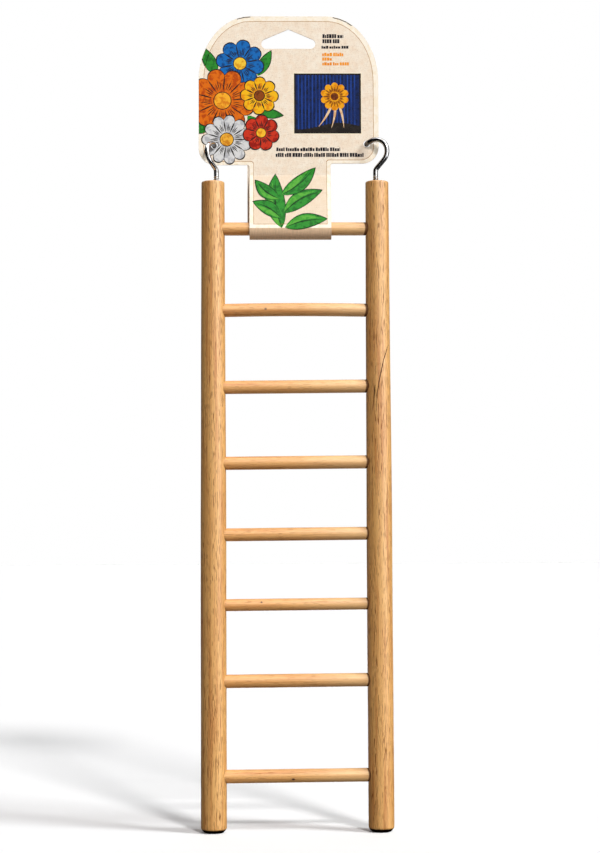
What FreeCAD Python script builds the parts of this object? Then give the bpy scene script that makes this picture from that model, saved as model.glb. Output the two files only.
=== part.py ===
"""Bird ladder of turned wood, with two screw hooks and a folded hang card round its top rung.

Millimetres. +Z is up, +X runs from the left rail to the right rail as seen from the front, and
+Y points to the back. The origin is on the ground, midway between the two feet.
Each piece is written to parts/NAME.step as a solid of its own.
"""

import FreeCAD
import Part
import math
import os

V = FreeCAD.Vector
UP = V(0, 0, 1)
BACK = V(0, 1, 0)
RIGHT = V(1, 0, 0)

# Side rails: round dowels, chamfered at the foot and growing slightly slimmer towards the top
rail_spacing = 97.2
rail_diameter = 15.0
rail_top_diameter = 13.6
rail_taper_length = 200.0
rail_top_chamfer = 0.6
foot_chamfer_height = 2.3
foot_chamfer_width = 1.3
foot_dome_height = 1.3
foot_flat_diameter = 10.0

# Rungs, from the foot upwards: set out by hand, so their spacing is uneven, and cut from sticks
# of slightly different thickness
foot_to_bottom_rung = 32.4
rung_steps = (54.9, 44.2, 41.0, 41.9, 44.7, 45.3, 48.5)
rung_diameters = (7.8, 7.8, 7.0, 7.6, 7.8, 7.8, 7.8, 7.8)
top_rung_to_rail_top = 28.1
rung_seat_depth = 9.0
rung_fit_clearance = 0.05
rung_seat_spare = 0.4

# Screw hooks: a shank, a sloping neck, a ring of wire, and a tip bent back through the card
wire_diameter = 2.9
neck_height = 7.4
neck_slope_deg = 45.0
neck_bend_radius = 3.0
tip_bend_radius = 5.0
tip_reach = 7.0
ring_bends = 12
shank_diameter = 3.6
shank_length = 16.0
shank_rise = 1.0
shank_runout = 3.5
shank_fit_clearance = 0.05

# How each hook was screwed in and bent: distance inboard of the rail's axis, radius of its ring,
# turn of the ring about the vertical, sideways lean, and the angle at which the ring ends
left_hook = {"side": -1, "inset": 2.0, "radius": 6.6, "turn": -122.0, "lean": -10.0, "end": 100.0}
right_hook = {"side": 1, "inset": 0.7, "radius": 7.5, "turn": -28.0, "lean": 0.0, "end": 110.0}

# Hang card: one sheet, folded round the top rung and glued to itself above it
sheet_thickness = 0.45
fold_radius = 5.2
fold_drop = 1.2
glue_start_height = 33.0
stem_width = 48.4
stem_shift = 0.7
wide_start_height = 39.3
right_shoulder_rise = 0.9
wide_height = 90.0
wide_margin_left = 9.3
wide_margin_right = 7.1
top_corner_width = 31.0
top_corner_height = 39.5
lower_corner_radius = 10.0
inner_corner_radius = 1.5
rear_stem_overhang = 1.2
hook_hole_clearance = 0.6
slit_width = 0.5
slit_rise = 1.0

# Hole for a display peg, of the usual three-cornered kind
peg_hole_width = 32.3
peg_hole_height = 11.9
peg_hole_below_top = 7.8
peg_hole_end_radius = 3.0

# Values that follow from the ones above
rail_radius = rail_diameter / 2
rail_top_radius = rail_top_diameter / 2
rail_half_spacing = rail_spacing / 2
rung_heights = [foot_to_bottom_rung + sum(rung_steps[:count]) for count in range(len(rung_steps) + 1)]
top_rung_height = rung_heights[-1]
rail_length = top_rung_height + top_rung_to_rail_top
rung_half_length = rail_half_spacing - rail_radius + rung_seat_depth
wire_radius = wire_diameter / 2
card_back_y = fold_radius
card_glue_y = card_back_y - sheet_thickness
card_front_y = card_glue_y - sheet_thickness


def arc(start, middle, end):
    """Circular edge through three points."""
    return Part.Arc(start, middle, end).toShape()


def line(start, end):
    """Straight edge."""
    return Part.LineSegment(start, end).toShape()


def polyline(points):
    """Straight edges through a list of points."""
    return [line(start, end) for start, end in zip(points, points[1:])]


def quarter(start, corner, end):
    """Quarter of a circle or ellipse that rounds the corner between start and end."""
    curve = Part.BezierCurve()
    curve.setPoles([start, corner, end])
    curve.setWeight(2, math.sqrt(0.5))
    return curve.toShape()


def tangent_point(point, centre, radius, axis):
    """Where the tangent from point touches a circle, on the side that a turn about axis leads to."""
    away = point - centre
    reach = math.degrees(math.acos(radius / away.Length))
    turned = FreeCAD.Rotation(axis, reach).multVec(away)
    return centre + turned * (radius / away.Length)


def revolved(edges):
    """Solid of revolution about the Z axis from edges in the X-Z plane that start and end on it."""
    return Part.Face(Part.Wire(edges)).revolve(V(0, 0, 0), UP, 360)


def rail_blank():
    """Turned rail standing on the origin: domed and chamfered foot, straight body, slim top."""
    rim_radius = rail_radius - foot_chamfer_width
    profile = [V(0, 0, 0),
               V(foot_flat_diameter / 2, 0, 0),
               V(rim_radius, 0, foot_dome_height),
               V(rail_radius, 0, foot_dome_height + foot_chamfer_height),
               V(rail_radius, 0, rail_length - rail_taper_length),
               V(rail_top_radius, 0, rail_length - rail_top_chamfer),
               V(rail_top_radius - rail_top_chamfer, 0, rail_length),
               V(0, 0, rail_length),
               V(0, 0, 0)]
    return revolved(polyline(profile))


def rung(height, diameter):
    """Round rung between the rails, its ends seated in blind holes."""
    return Part.makeCylinder(diameter / 2, 2 * rung_half_length, V(-rung_half_length, 0, height), RIGHT)


def rung_holes(side):
    """Blind holes for the rungs in one rail, bored from its inner side."""
    depth = rung_half_length + rung_seat_spare
    return [Part.makeCylinder(diameter / 2 + rung_fit_clearance, depth, UP * height, RIGHT * side)
            for height, diameter in zip(rung_heights, rung_diameters)]


def hook_entry(spec):
    """Point where a hook's shank meets the top of its rail."""
    return V(spec["side"] * (rail_half_spacing - spec["inset"]), 0, rail_length)


def shank(spec, clearance):
    """Shank with the thread's outer size, up to the run-out where it narrows to the wire."""
    outer = shank_diameter / 2 + clearance
    top = shank_rise + shank_runout
    bottom = -shank_length - clearance
    screw = revolved(polyline([V(0, 0, bottom), V(outer, 0, bottom), V(outer, 0, shank_rise),
                               V(wire_radius + clearance, 0, top), V(0, 0, top), V(0, 0, bottom)]))
    screw.translate(hook_entry(spec))
    return screw


def ring_point(spec, angle):
    """Point of the ring's centre line, and the way the wire runs there. Zero degrees is the bulge."""
    turn = math.radians(angle)
    slope = math.radians(neck_slope_deg)
    radius = spec["radius"]
    placed = FreeCAD.Rotation(BACK, spec["lean"]).multiply(FreeCAD.Rotation(UP, spec["turn"]))
    local = V(radius * math.cos(turn), 0, radius / math.cos(slope) + radius * math.sin(turn))
    neck_foot = hook_entry(spec) + UP * neck_height
    return neck_foot + placed.multVec(local), placed.multVec(V(-math.sin(turn), 0, math.cos(turn)))


def tip_bend(spec):
    """Start, middle and end of the bend that turns the wire straight back."""
    start, heading = ring_point(spec, spec["end"])
    angle = heading.getAngle(BACK)
    sideways = (heading - BACK * heading.dot(BACK)).normalize()
    centre = start + (BACK * math.sin(angle) - sideways * math.cos(angle)) * tip_bend_radius
    outward = (sideways - BACK * math.tan(angle / 2)).normalize()
    return start, centre + outward * tip_bend_radius, centre + sideways * tip_bend_radius


def hook(spec):
    """Screw hook in one piece: a wire bent round the ring in small steps, on a thicker shank."""
    entry = hook_entry(spec)
    neck_foot = entry + UP * neck_height
    ring_start_deg = neck_slope_deg - 90
    _, neck_heading = ring_point(spec, ring_start_deg)
    neck_reach = neck_bend_radius * math.tan(UP.getAngle(neck_heading) / 2)
    step = (spec["end"] - ring_start_deg) / ring_bends
    ring = [ring_point(spec, ring_start_deg + step * count)[0] for count in range(ring_bends + 1)]
    _, bend_middle, bend_end = tip_bend(spec)
    wire_start = entry + UP * shank_rise
    tip_end = V(bend_end.x, tip_reach, bend_end.z)
    neck = [neck_foot - UP * neck_reach, neck_foot + neck_heading * neck_reach]
    path = Part.makePolygon([wire_start] + neck + ring + [bend_middle, bend_end, tip_end])
    section = Part.Wire(Part.makeCircle(wire_radius, wire_start, UP))
    wire = path.makePipeShell([section], True, False, 1)
    return wire.fuse(shank(spec, 0)).removeSplitter()


def fold_profile():
    """Section of the folded sheet across the rung, in the Y-Z plane: loop, slanted front leaf and glued pair."""
    centre = V(0, 0, top_rung_height - fold_drop)
    glue_start = V(0, card_front_y, top_rung_height + glue_start_height)
    card_top = top_rung_height + wide_start_height + wide_height
    touch = tangent_point(glue_start, centre, fold_radius, RIGHT)
    toward = (touch - centre).normalize()
    inner_radius = fold_radius - sheet_thickness
    inner_touch = centre + toward * inner_radius
    slope = glue_start - touch
    apex = inner_touch + slope * ((card_glue_y - inner_touch.y) / slope.y)
    lowest = centre - UP * fold_radius
    outer = polyline([V(0, card_back_y, centre.z), V(0, card_back_y, card_top),
                      V(0, card_front_y, card_top), glue_start, touch])
    outer.append(arc(touch, lowest, V(0, card_back_y, centre.z)))
    inner = polyline([V(0, card_glue_y, centre.z), apex, inner_touch])
    inner.append(arc(inner_touch, centre - UP * inner_radius, V(0, card_glue_y, centre.z)))
    return Part.Face(Part.Wire(outer)).cut(Part.Face(Part.Wire(inner)))


def card_outline(left, right, middle):
    """Front view of the card, in the X-Z plane: a narrow stem under a wide panel with rounded corners."""
    low = top_rung_height - fold_drop - 2 * fold_radius
    left_base = top_rung_height + wide_start_height
    right_base = left_base + right_shoulder_rise
    top = left_base + wide_height
    stem_left = middle - stem_width / 2
    stem_right = middle + stem_width / 2
    lower = lower_corner_radius
    inner = inner_corner_radius
    corners = [
        (V(left, 0, top - top_corner_height), V(left, 0, top), V(left + top_corner_width, 0, top)),
        (V(right - top_corner_width, 0, top), V(right, 0, top), V(right, 0, top - top_corner_height)),
        (V(right, 0, right_base + lower), V(right, 0, right_base), V(right - lower, 0, right_base)),
        (V(stem_right + inner, 0, right_base), V(stem_right, 0, right_base), V(stem_right, 0, right_base - inner)),
        (V(stem_left, 0, left_base - inner), V(stem_left, 0, left_base), V(stem_left - inner, 0, left_base)),
        (V(left + lower, 0, left_base), V(left, 0, left_base), V(left, 0, left_base + lower)),
    ]
    edges = []
    for index, (start, corner, end) in enumerate(corners):
        edges.append(quarter(start, corner, end))
        after = corners[(index + 1) % len(corners)][0]
        between = [end, V(stem_right, 0, low), V(stem_left, 0, low), after] if index == 3 else [end, after]
        edges += polyline(between)
    return Part.Wire(edges)


def peg_hole_outline(middle):
    """Three-cornered peg hole: flat below, round at both ends, sloping up to a point."""
    top = top_rung_height + wide_start_height + wide_height
    apex = V(middle, 0, top - peg_hole_below_top)
    base = apex.z - peg_hole_height
    reach = peg_hole_width / 2 - peg_hole_end_radius
    ends = []
    for side in (1, -1):
        centre = V(middle + side * reach, 0, base + peg_hole_end_radius)
        touch = tangent_point(apex, centre, peg_hole_end_radius, BACK * side)
        below = centre - UP * peg_hole_end_radius
        outward = ((touch - centre).normalize() - UP).normalize()
        ends.append((touch, centre + outward * peg_hole_end_radius, below))
    (right_touch, right_out, right_below), (left_touch, left_out, left_below) = ends
    return Part.Wire([line(apex, right_touch), arc(right_touch, right_out, right_below),
                      line(right_below, left_below), arc(left_below, left_out, left_touch),
                      line(left_touch, apex)])


def through_cut(outline):
    """Solid that runs through the card, front to back, with the given outline."""
    face = Part.Face(outline)
    face.translate(-BACK * 2 * fold_radius)
    return face.extrude(BACK * 4 * fold_radius)


def hang_card(left_tip, right_tip):
    """Folded card whose two punched holes sit on the hooks' tips."""
    left = left_tip.x - wide_margin_left
    right = right_tip.x + wide_margin_right
    middle = (left + right) / 2
    stem_middle = middle + stem_shift
    fold_height = top_rung_height - fold_drop
    sheet = fold_profile()
    sheet.translate(RIGHT * left)
    folded = sheet.extrude(RIGHT * (right - left))
    card = folded.common(through_cut(card_outline(left, right, stem_middle)))
    overhang = Part.makeBox(rear_stem_overhang, sheet_thickness, wide_start_height + fold_drop,
                            V(stem_middle - stem_width / 2 - rear_stem_overhang, card_glue_y, fold_height))
    card = card.fuse(overhang)
    hole_radius = wire_radius + hook_hole_clearance
    for tip in (left_tip, right_tip):
        card = card.cut(Part.makeCylinder(hole_radius, 4 * fold_radius, V(tip.x, -2 * fold_radius, tip.z), BACK))
    slit_end = V(right + hole_radius, 0, right_tip.z + slit_rise)
    half_slit = UP * (slit_width / 2)
    start = V(right_tip.x, 0, right_tip.z)
    slit = Part.makePolygon([start + half_slit, slit_end + half_slit, slit_end - half_slit,
                             start - half_slit, start + half_slit])
    card = card.cut(through_cut(slit))
    card = card.cut(through_cut(peg_hole_outline(middle)))
    return card.removeSplitter()


def build():
    """All the pieces by name."""
    pieces = {}
    for name, spec in (("left", left_hook), ("right", right_hook)):
        rail = rail_blank()
        rail.translate(RIGHT * spec["side"] * rail_half_spacing)
        for cutter in rung_holes(spec["side"]) + [shank(spec, shank_fit_clearance)]:
            rail = rail.cut(cutter)
        pieces[name + "_rail"] = rail
        pieces[name + "_hook"] = hook(spec)
    for number, (height, diameter) in enumerate(reversed(list(zip(rung_heights, rung_diameters))), start=1):
        pieces[f"rung_{number}"] = rung(height, diameter)
    pieces["hang_card"] = hang_card(tip_bend(left_hook)[2], tip_bend(right_hook)[2])
    return pieces


def main():
    os.makedirs("parts", exist_ok=True)
    for name, shape in build().items():
        shape.exportStep(f"parts/{name}.step")
        box = shape.optimalBoundingBox(False, False)
        print(f"{name:12s} solids {len(shape.Solids)} valid {shape.isValid()} volume {shape.Volume:9.1f} "
              f"x {box.XMin:7.2f} {box.XMax:7.2f}  y {box.YMin:6.2f} {box.YMax:6.2f}  "
              f"z {box.ZMin:7.2f} {box.ZMax:7.2f}")


main()
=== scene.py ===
"""Looks of the bird ladder: turned wood with grain, bent steel wire, and a printed hang card.

Lengths are in millimetres until a mesh is made, which turns them into the frame's metres.
+Z is up, +X runs to the right rail and +Y to the back, as in the frame.
"""

import math
import random

import bmesh
import bpy
from mathutils import Matrix, Quaternion, Vector, noise
from mathutils.geometry import tessellate_polygon


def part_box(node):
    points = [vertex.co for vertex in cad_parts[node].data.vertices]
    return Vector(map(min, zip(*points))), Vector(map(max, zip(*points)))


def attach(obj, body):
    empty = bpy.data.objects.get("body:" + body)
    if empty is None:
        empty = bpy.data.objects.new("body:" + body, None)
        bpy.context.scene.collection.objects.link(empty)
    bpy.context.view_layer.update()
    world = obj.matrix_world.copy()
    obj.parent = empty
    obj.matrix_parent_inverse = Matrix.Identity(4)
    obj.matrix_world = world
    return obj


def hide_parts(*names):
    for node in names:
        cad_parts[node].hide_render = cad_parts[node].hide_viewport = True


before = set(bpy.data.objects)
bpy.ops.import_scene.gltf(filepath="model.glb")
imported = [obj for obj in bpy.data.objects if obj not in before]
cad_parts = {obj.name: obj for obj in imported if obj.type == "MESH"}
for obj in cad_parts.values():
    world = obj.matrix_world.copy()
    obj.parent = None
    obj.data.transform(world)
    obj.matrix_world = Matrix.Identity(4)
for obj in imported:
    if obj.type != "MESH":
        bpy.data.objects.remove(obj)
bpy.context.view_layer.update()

MM = 0.001
UP = Vector((0, 0, 1))
BACK = Vector((0, 1, 0))
RIGHT = Vector((1, 0, 0))

# The photograph's camera, fitted to the ladder's edges
IMAGE_HEIGHT_PX = 853
FOCAL_PX = 1846.0
HALF_PIXEL = 0.5 / IMAGE_HEIGHT_PX
CAMERA_PLACE = Vector((-17.83, -1083.16, 164.02))
CAMERA_YAW_DEG = 1.082
CAMERA_PITCH_DEG = 3.767
CAMERA_ROLL_DEG = -0.261

# Rails
FOOT_FLAT_RADIUS = 5.4
FOOT_DOME_HEIGHT = 1.3
FOOT_CHAMFER_HEIGHT = 1.2
FOOT_CHAMFER_WIDTH = 0.8
RAIL_TOP_RADIUS = 6.8
RAIL_TAPER_LENGTH = 200.0
RAIL_ROUNDING = 0.9
RAIL_SWAY = 0.12
RAIL_SEGMENTS = 96
RAIL_RING_STEP = 2.5
SURFACE_RIDGES = 0.003
HOLE_GAP = 0.4
HOLE_OVERRUN = 3.0
HOLE_SEGMENTS = 64

# Cracks in the face of the right rail: distance to the right of its axis and height
CRACKS = (
    ((6.3, 284.0), (5.1, 281.5), (4.4, 278.9), (2.9, 274.5), (1.4, 267.9), (0.2, 262.4), (-1.0, 255.3),
     (-1.5, 249.0), (-1.9, 242.0)),
    ((-2.3, 260.0), (-2.9, 253.0), (-3.2, 245.5)),
)
CRACK_HALF_WIDTH = 0.27
CRACK_DEPTH = 0.9
CRACK_MOUTH = 0.4
CRACK_STEP = 1.0

# Walls of holes and cracks, which get a painted dark shade: away from the rail's ends, and inside its skin or
# across it
HOLLOWS_START = 5.0
SKIN_SHARE = 0.97
SKIN_FACING = 0.8

# Rungs: how far each one's right end stands above its left end, and its rise in the middle
RUNG_COUNT = 8
RUNG_TILT = {number: 0.7 for number in range(3, 9)}
RUNG_BOW = {2: 0.65}
RUNG_UNEVENNESS = 0.006
RUNG_SEGMENTS = 64
RUNG_RING_STEP = 1.6
RUNG_END_ROUNDING = 0.5

# Screw hooks, as the part has them
WIRE_RADIUS = 1.45
WIRE_SEGMENTS = 40
WIRE_STEP = 0.5
WIRE_SHARP_DEG = 50.0
SHANK_STEP = 0.1
NECK_HEIGHT = 7.4
NECK_SLOPE_DEG = 45.0
NECK_BEND_RADIUS = 3.0
TIP_BEND_RADIUS = 5.0
TIP_REACH = 7.0
TIP_ROUNDING = 0.4 * WIRE_RADIUS
SHANK_LENGTH = 16.0
SHANK_RISE = 1.0
SHANK_RUNOUT = 3.5
SHANK_END_SHARE = 0.55
THREAD_CREST_RADIUS = 1.8
THREAD_ROOT_RADIUS = 1.2
THREAD_PITCH = 1.4
THREAD_RIDGE_SHARE = 0.3
BORE_RADIUS = 1.85
HOOKS = {
    "left_hook": {"side": -1, "inset": 2.0, "radius": 6.6, "turn": -122.0, "lean": -10.0, "end": 100.0},
    "right_hook": {"side": 1, "inset": 0.7, "radius": 7.5, "turn": -28.0, "lean": 0.0, "end": 110.0},
}

# Hang card, as the part has it
GLUE_START_HEIGHT = 33.0
CARD_FRONT_Y = 4.3
STEM_WIDTH = 48.4
STEM_SHIFT = 0.7
WIDE_START_HEIGHT = 39.3
RIGHT_SHOULDER_RISE = 0.9
TOP_CORNER = (31.0, 39.5)
LOWER_CORNER_RADIUS = 10.0
INNER_CORNER_RADIUS = 1.5
HOLE_CLEARANCE = 0.6
SLIT_WIDTH = 0.5
SLIT_RISE = 1.0

# Print: films of ink, one layer above the other. EDGE_MARKS are parts of the card's outline that get a dark
# line of painted shade.
LAYER_LIFT = 0.008
FILM_THICKNESS = 0.005
EDGE_INSET = 0.12
EDGE_MARK_WIDTH = 0.5
EDGE_MARKS = ((14, 18), (10, 13))
BORDER_INSETS = (3.0, 2.0)
BORDER_WIDTH = 0.3
BORDER_BOTTOM = 354.9
RIM = 0.7
HEART_SHARE = 0.26
LEAF_FULLNESS = 0.9
LEAF_RIM_COLOURS = ("123814", "0E2A10")
LEAF_COLOURS = ("2C8A2E", "1E6A24")
LEAF_RIM = (0.8, 1.0)

# Flowers: name, middle, radius, petals, turn in degrees, two colours, two colours of the heart
FLOWERS = (
    ("blue", (-32.5, 453.5), 14.0, 8, 12, ("1468B8", "0B4280"), ("F0C63C", "D89A20")),
    ("orange", (-43.0, 431.0), 19.0, 9, 5, ("DB6C10", "B54808"), ("F4AE2C", "D8801A")),
    ("yellow", (-21.0, 434.0), 11.0, 8, 20, ("F2B818", "E28E12"), ("8A4412", "5E2C0C")),
    ("white", (-40.5, 407.5), 14.5, 11, 0, ("D6D7DA", "B2B4BB"), ("EDB03A", "C97F1E")),
    ("red", (-20.0, 411.5), 10.5, 7, 10, ("C8341E", "93190F"), ("F5BE30", "D88A18")),
)
FIRST_FLOWER_LAYER = 3
LAYERS_PER_FLOWER = 4

# Strokes of a petal: place across it, start and length as shares of the flower's radius, width
STROKES = ((0, 0.3, 0.52, 0.8), (0.32, 0.34, 0.26, 0.45), (0.5, 0.34, 0.36, 0.5), (0.68, 0.34, 0.26, 0.45))

# Leaves: foot, direction in degrees, length, width and curl
FRONDS = (
    (-46.0, 446.0, 118, 20, 7.0, 0.0), (-22.0, 446.0, 62, 17, 6.0, 0.0), (-21.0, 424.0, -8, 14, 5.0, 0.0),
    (-28.0, 422.0, -50, 15, 6.0, 0.0), (-50.0, 416.0, 195, 12, 6.0, 0.0),
)
LEAVES = (
    (-8.0, 352.5, 96, 34, 11.0, 2.0), (-8.5, 359.0, 148, 19, 8.0, -1.5), (-7.0, 362.0, 32, 27, 9.0, 2.0),
    (-9.5, 371.0, 140, 18, 7.5, 1.5), (-8.0, 373.5, 40, 26, 8.5, -1.5), (-6.0, 353.0, 12, 25, 8.5, 1.5),
)

# Panel: lower left corner, width and height; stripes' number, start, spacing and width; the ground's
# height, wave and steps; a flower, as above; and its stalks' directions and lengths
PANEL = (-0.25, 411.15, 40.0, 36.35)
PANEL_RIM = 0.5
PANEL_FRAME = 1.0
STRIPES = (17, 2.2, 2.1, 0.8)
GROUND = (3.5, 2.0, 12)
PANEL_FLOWER = (24.0, 433.5, 8.5, 10, 0)
PANEL_HEART_RADIUS = 2.3
STALKS = ((-118, 21), (-96, 19.5), (-74, 20))
STALK_SHAPE = (1.4, 0.8, 1.2)

# Rows of blocks in the place of text: lower left corner, width and height
DARK_ROWS = ((16.9, 469.0, 12.5, 2.4), (16.9, 465.9, 11.3, 2.4), (16.3, 462.6, 16.3, 1.7),
             (-10.9, 400.5, 38.0, 2.2), (-11.3, 397.0, 52.4, 2.4))
ORANGE_ROWS = ((16.7, 458.0, 12.8, 2.1), (16.7, 455.3, 6.1, 1.9), (16.7, 452.4, 15.9, 1.9))
ORANGE_SEED = 20
BLOCK_WIDTHS = (0.8, 1.5)
BLOCK_GAP = 0.22
WORD_GAP = 0.5

# Wood's patterns: steps per millimetre across the fibres and along them, detail, distortion
FIGURE = (0.22, 0.012, 3.0, 0.4)
STREAKS = (1.2, 0.02, 4.0, 0.3)
FIBRES = (5.0, 0.12, 2.0, 0.0)
PORE_CLUSTERS = (0.3, 0.03, 2.0, 0.0)
PORE_DASHES = (2.8, 0.16, 0.0, 0.0)
FINE_DASHES = (4.6, 0.3, 0.0, 0.0)
FIGURE_SHARE = 0.4
KNOT_AND_SHADE_COLOUR = "4E240C"
KNOTS = (((-17.7, -3.2, 304.8), (1.1, 3.0, 0.7), 0.9), ((-20.6, -3.0, 132.9), (0.8, 3.0, 0.6), 0.95),
         ((-2.5, -3.2, 30.7), (1.3, 3.0, 0.8), 1.0))
# Painted highlight: rungs grow paler towards their right ends, from where it starts to where it is full, in
# this tint
RIGHT_END_HIGHLIGHT = (-12.0, 42.0, "F2CE98")
# Painted shade ring round the rungs at the right rail: how far beyond the rail's radius it starts and where
# it is full
JOINT_SHADE = (1.1, 0.45)
# Painted contact shadow: a near-black band round each rail's foot, with its colour, height, soft edge and
# wave
FOOT_SHADOW_COLOUR = "0C0704"
FOOT_SHADOW_HEIGHT = 1.9
FOOT_SHADOW_EDGE = 0.5
FOOT_SHADOW_WAVE = 0.6

# Steel: a painted dark reflection of the card near it, from these places to the back and this height above
# the rail's top
STEEL_COLOURS = ("C0C0C2", "98958F")
CARD_REFLECTION_COLOUR = "3C322C"
CARD_REFLECTION_DEPTH = (-3.0, 2.5)
CARD_REFLECTION_HEIGHT = (12.0, 17.0)

# Board: its two tones and flecks, the painted brown shade on the loop and the painted darker tint below the
# fold
BOARD_COLOURS = ("F6ECDE", "F0DECA")
FLECK_COLOUR = "B4977A"
LOOP_SHADE_COLOUR = "D3B08E"
LOOP_TOP = 354.0
FOLD_SHADE_COLOUR = "DCC7AE"
TOOTH_COLOUR = "F2E4CE"

# Studio: even light, floor, and lamps with azimuth, elevation and spread in degrees, strength, colour
AMBIENT = 0.155
AMBIENT_TINT = (1.0, 0.87, 0.79)
FLOOR_REACH = 60.0
FLOOR_GLOW = 0.045
FLOOR_SEEN_TONE = (0.89, 0.91, 0.955)
FLOOR_BOUNCE_TONE = (0.3, 0.3, 0.3)
LAMPS = {
    "side_key": (64, 36, 18, 2.48, (0.985, 1.0, 0.965)),
    "front_key": (22, 36, 9, 2.1, (1.0, 0.965, 0.92)),
    "back_fill": (175, 45, 60, 0.35, (1.0, 1.0, 1.0)),
}

# Cards that only reflections show, in metres. Upright: azimuth in degrees, distance, width, height, shade.
# Level: lowest x and y, highest x and y, height, shade.
UPRIGHT_FLAGS = {
    "left_flag": (-68, 0.6, 1.7, 1.2, 0.005),
    "right_flag": (105, 0.7, 1.2, 1.2, 0.08),
    "back_flag": (180, 0.8, 2.2, 1.3, 0.08),
    "side_sheen": (60, 0.9, 0.65, 1.2, 4.0),
}
LEVEL_FLAGS = {
    "floor_flag": (-0.7, -0.9, 0.7, 0.4, 0.001, 0.04),
    "top_sheen": (-0.8, -0.6, 0.8, 0.2, 1.4, 3.0),
}


def box_mm(node):
    """Lowest and highest corner of a CAD node in millimetres."""
    low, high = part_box(node)
    return Vector(low) / MM, Vector(high) / MM


def linear(code):
    """Linear colour with full alpha from a hexadecimal one as a screen shows it."""
    parts = [int(code[start:start + 2], 16) / 255 for start in (0, 2, 4)]
    return [part / 12.92 if part <= 0.04045 else ((part + 0.055) / 1.055) ** 2.4 for part in parts] + [1.0]


def on_circle(angle):
    """Place on a circle of radius one."""
    return Vector((math.cos(angle), math.sin(angle)))


def turns(count):
    """Angles of equal steps round a circle."""
    return [2 * math.pi * step / count for step in range(count)]


def added(name, data):
    """New object in the scene."""
    made = bpy.data.objects.new(name, data)
    bpy.context.scene.collection.objects.link(made)
    return made


rail_low, rail_high = box_mm("right_rail")
rail_axis_x = (rail_low.x + rail_high.x) / 2
rail_foot_radius = (rail_high.x - rail_low.x) / 2

card_low, card_high = box_mm("hang_card")
card_top_rung = (box_mm("rung_1")[0].z + box_mm("rung_1")[1].z) / 2
fold_radius = card_high.y
fold_height = card_low.z + fold_radius
glue_start = Vector((CARD_FRONT_Y, card_top_rung + GLUE_START_HEIGHT))
from_fold = glue_start - Vector((0, fold_height))
touch_angle = math.atan2(from_fold.y, from_fold.x) + math.acos(fold_radius / from_fold.length)
touch = Vector((0, fold_height)) + on_circle(touch_angle) * fold_radius
card_middle = (card_low.x + card_high.x) / 2
stem_left = card_middle + STEM_SHIFT - STEM_WIDTH / 2
stem_right = card_middle + STEM_SHIFT + STEM_WIDTH / 2


class Nodes:
    """Node tree of a material or world, with short calls for the nodes that are used here."""

    def __init__(self, owner):
        owner.use_nodes = True
        self.tree = owner.node_tree

    def node(self, kind, inputs=None, **settings):
        made = self.tree.nodes.new(kind)
        for key, value in settings.items():
            setattr(made, key, value)
        for key, value in (inputs or {}).items():
            self.put(made.inputs[key], value)
        return made

    def put(self, socket, value):
        """Joins a socket to another, or gives it a number, a vector or a hexadecimal colour."""
        if isinstance(value, bpy.types.NodeSocket):
            self.tree.links.new(value, socket)
        else:
            socket.default_value = linear(value) if isinstance(value, str) else value

    def math(self, operation, *values):
        return self.node("ShaderNodeMath", dict(enumerate(values)), operation=operation).outputs[0]

    def times(self, *values):
        product = values[0]
        for value in values[1:]:
            product = self.math("MULTIPLY", product, value)
        return product

    def mix(self, factor, first, second):
        return self.node("ShaderNodeMix", {0: factor, 6: first, 7: second}, data_type="RGBA").outputs[2]


class Shader(Nodes):
    """Material whose patterns keep to the frame's own coordinates."""

    def __init__(self, name):
        self.material = bpy.data.materials.new(name)
        super().__init__(self.material)
        self.surface = self.tree.nodes["Principled BSDF"]
        self.place = self.node("ShaderNodeTexCoord").outputs["Object"]

    def axis(self, index):
        """The surface point's x, y or z in metres."""
        return self.node("ShaderNodeSeparateXYZ", {0: self.place}).outputs[index]

    def vector(self, operation, first, second):
        return self.node("ShaderNodeVectorMath", {0: first, 1: second}, operation=operation).outputs[0]

    def length(self, vector):
        return self.node("ShaderNodeVectorMath", {0: vector}, operation="LENGTH").outputs[1]

    def noise(self, per_mm, detail=2.0, distortion=0.0):
        """Noise with a number of steps per millimetre along each axis."""
        scaled = self.vector("MULTIPLY", self.place, [step / MM for step in per_mm])
        settings = {"Vector": scaled, "Scale": 1.0, "Detail": detail, "Distortion": distortion}
        return self.node("ShaderNodeTexNoise", settings).outputs[0]

    def fade(self, value, start, end, most=1.0):
        """Zero before start, most after end, and smooth between them."""
        settings = {"Value": value, "From Min": start, "From Max": end, "To Max": most}
        return self.node("ShaderNodeMapRange", settings, interpolation_type="SMOOTHSTEP").outputs[0]

    def range(self, value, low, high):
        """A value from 0.3 to 0.7, as noise mostly gives, mapped to low and high."""
        settings = {"Value": value, "From Min": 0.3, "From Max": 0.7, "To Min": low, "To Max": high}
        return self.node("ShaderNodeMapRange", settings).outputs[0]

    def finish(self, colour, roughness, relief, depth_mm, specular=0.5, metallic=0.0):
        """The material with its surface set."""
        settings = {"Height": relief, "Distance": depth_mm * MM, "Strength": 1.0}
        normal = self.node("ShaderNodeBump", settings).outputs[0]
        values = {"Base Color": colour, "Roughness": roughness, "Normal": normal,
                  "Specular IOR Level": specular, "Metallic": metallic}
        for key, value in values.items():
            self.put(self.surface.inputs[key], value)
        return self.material


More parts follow.
